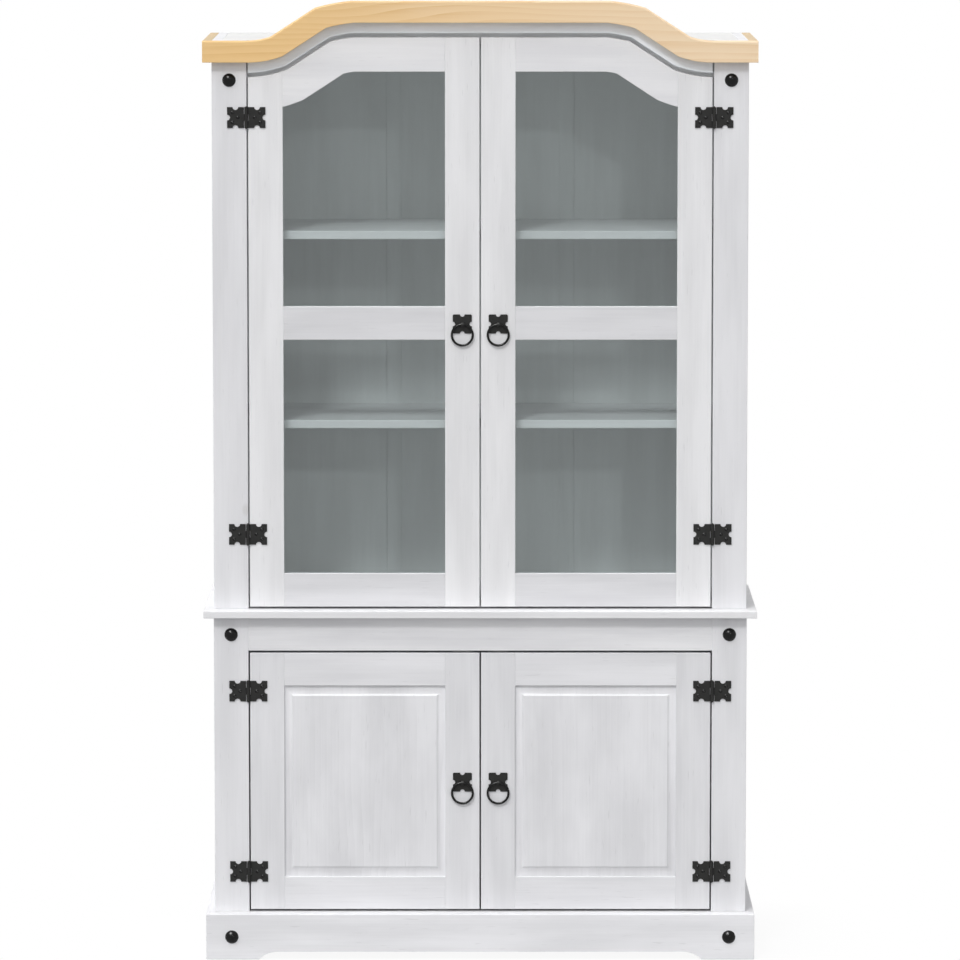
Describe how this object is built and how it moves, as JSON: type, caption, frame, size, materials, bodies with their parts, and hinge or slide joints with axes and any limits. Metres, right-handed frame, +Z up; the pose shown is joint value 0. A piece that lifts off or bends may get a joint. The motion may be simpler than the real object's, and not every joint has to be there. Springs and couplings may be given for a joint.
{
  "type": "display cabinet",
  "caption": "Free-standing two-piece pine display cabinet: glazed hutch with an arched cornice on a panelled cupboard base, with swinging doors and ring pulls.",
  "frame": {"origin": "on the floor, at the middle of the width and of the depth from the plinth studs to the back panel", "axes": "+Z up, +X to the right as seen from the front, +Y from the front to the back"},
  "size_m": [1.12, 0.439, 1.9433],
  "materials": {
    "white_pine": "white brushed paint over pine, satin, with the grain showing",
    "natural_pine": "clear waxed natural pine",
    "clear_glass": "clear float glass",
    "black_iron": "black painted iron, semi-matt",
    "catch_plastic": "white moulded plastic"
  },
  "bodies": {
    "cabinet": {"plinth_front": "white_pine", "plinth_side_left": "white_pine", "plinth_side_right": "white_pine", "plinth_back": "white_pine", "plinth_cleats": "white_pine", "base_floor": "white_pine", "base_post_left": "white_pine", "base_post_right": "white_pine", "base_top_rail": "white_pine", "base_side_left": "white_pine", "base_side_right": "white_pine", "base_back": "white_pine", "base_shelf": "white_pine", "worktop": "white_pine", "hutch_floor": "white_pine", "hutch_post_left": "white_pine", "hutch_post_right": "white_pine", "hutch_side_left": "white_pine", "hutch_side_right": "white_pine", "hutch_top": "white_pine", "hutch_back": "white_pine", "hutch_fascia": "white_pine", "hutch_stop_rail": "white_pine", "hutch_shelf_upper": "white_pine", "hutch_shelf_lower": "white_pine", "shelf_battens": "white_pine", "cornice_front": "natural_pine", "cornice_side_left": "natural_pine", "cornice_side_right": "natural_pine", "domed_studs": "black_iron", "magnet_catches": "catch_plastic", "hinge_post_leaves": "black_iron", "hinge_pins": "black_iron"},
    "hutch_door_left": {"hutch_left_stiles": "white_pine", "hutch_left_rails": "white_pine", "hutch_left_arched_rail": "white_pine", "hutch_left_glass": "clear_glass", "hutch_left_hinge_leaves": "black_iron", "hutch_left_pull_and_strike": "black_iron"},
    "hutch_ring_left": {"hutch_left_ring": "black_iron"},
    "hutch_door_right": {"hutch_right_stiles": "white_pine", "hutch_right_rails": "white_pine", "hutch_right_arched_rail": "white_pine", "hutch_right_glass": "clear_glass", "hutch_right_hinge_leaves": "black_iron", "hutch_right_pull_and_strike": "black_iron"},
    "hutch_ring_right": {"hutch_right_ring": "black_iron"},
    "base_door_left": {"base_left_stiles": "white_pine", "base_left_rails": "white_pine", "base_left_panel": "white_pine", "base_left_hinge_leaves": "black_iron", "base_left_pull_and_strike": "black_iron"},
    "base_ring_left": {"base_left_ring": "black_iron"},
    "base_door_right": {"base_right_stiles": "white_pine", "base_right_rails": "white_pine", "base_right_panel": "white_pine", "base_right_hinge_leaves": "black_iron", "base_right_pull_and_strike": "black_iron"},
    "base_ring_right": {"base_right_ring": "black_iron"}
  },
  "joints": [
    {"name": "hutch_door_left_swing", "type": "hinge", "parent": "cabinet", "child": "hutch_door_left", "pos_m": [-0.4705, -0.1591, 1.3], "axis": [0, 0, -1], "range_deg": [0, 165]},
    {"name": "hutch_ring_left_lift", "type": "hinge", "parent": "hutch_door_left", "child": "hutch_ring_left", "pos_m": [-0.03625, -0.1608, 1.29135], "axis": [-1, 0, 0], "range_deg": [0, 175]},
    {"name": "hutch_door_right_swing", "type": "hinge", "parent": "cabinet", "child": "hutch_door_right", "pos_m": [0.4705, -0.1591, 1.3], "axis": [0, 0, 1], "range_deg": [0, 165]},
    {"name": "hutch_ring_right_lift", "type": "hinge", "parent": "hutch_door_right", "child": "hutch_ring_right", "pos_m": [0.03625, -0.1608, 1.29135], "axis": [-1, 0, 0], "range_deg": [0, 175]},
    {"name": "base_door_left_swing", "type": "hinge", "parent": "cabinet", "child": "base_door_left", "pos_m": [-0.4705, -0.1791, 0.4], "axis": [0, 0, -1], "range_deg": [0, 165]},
    {"name": "base_ring_left_lift", "type": "hinge", "parent": "base_door_left", "child": "base_ring_left", "pos_m": [-0.03625, -0.1808, 0.3586], "axis": [-1, 0, 0], "range_deg": [0, 175]},
    {"name": "base_door_right_swing", "type": "hinge", "parent": "cabinet", "child": "base_door_right", "pos_m": [0.4705, -0.1791, 0.4], "axis": [0, 0, 1], "range_deg": [0, 165]},
    {"name": "base_ring_right_lift", "type": "hinge", "parent": "base_door_right", "child": "base_ring_right", "pos_m": [0.03625, -0.1808, 0.3586], "axis": [-1, 0, 0], "range_deg": [0, 175]}
  ]
}
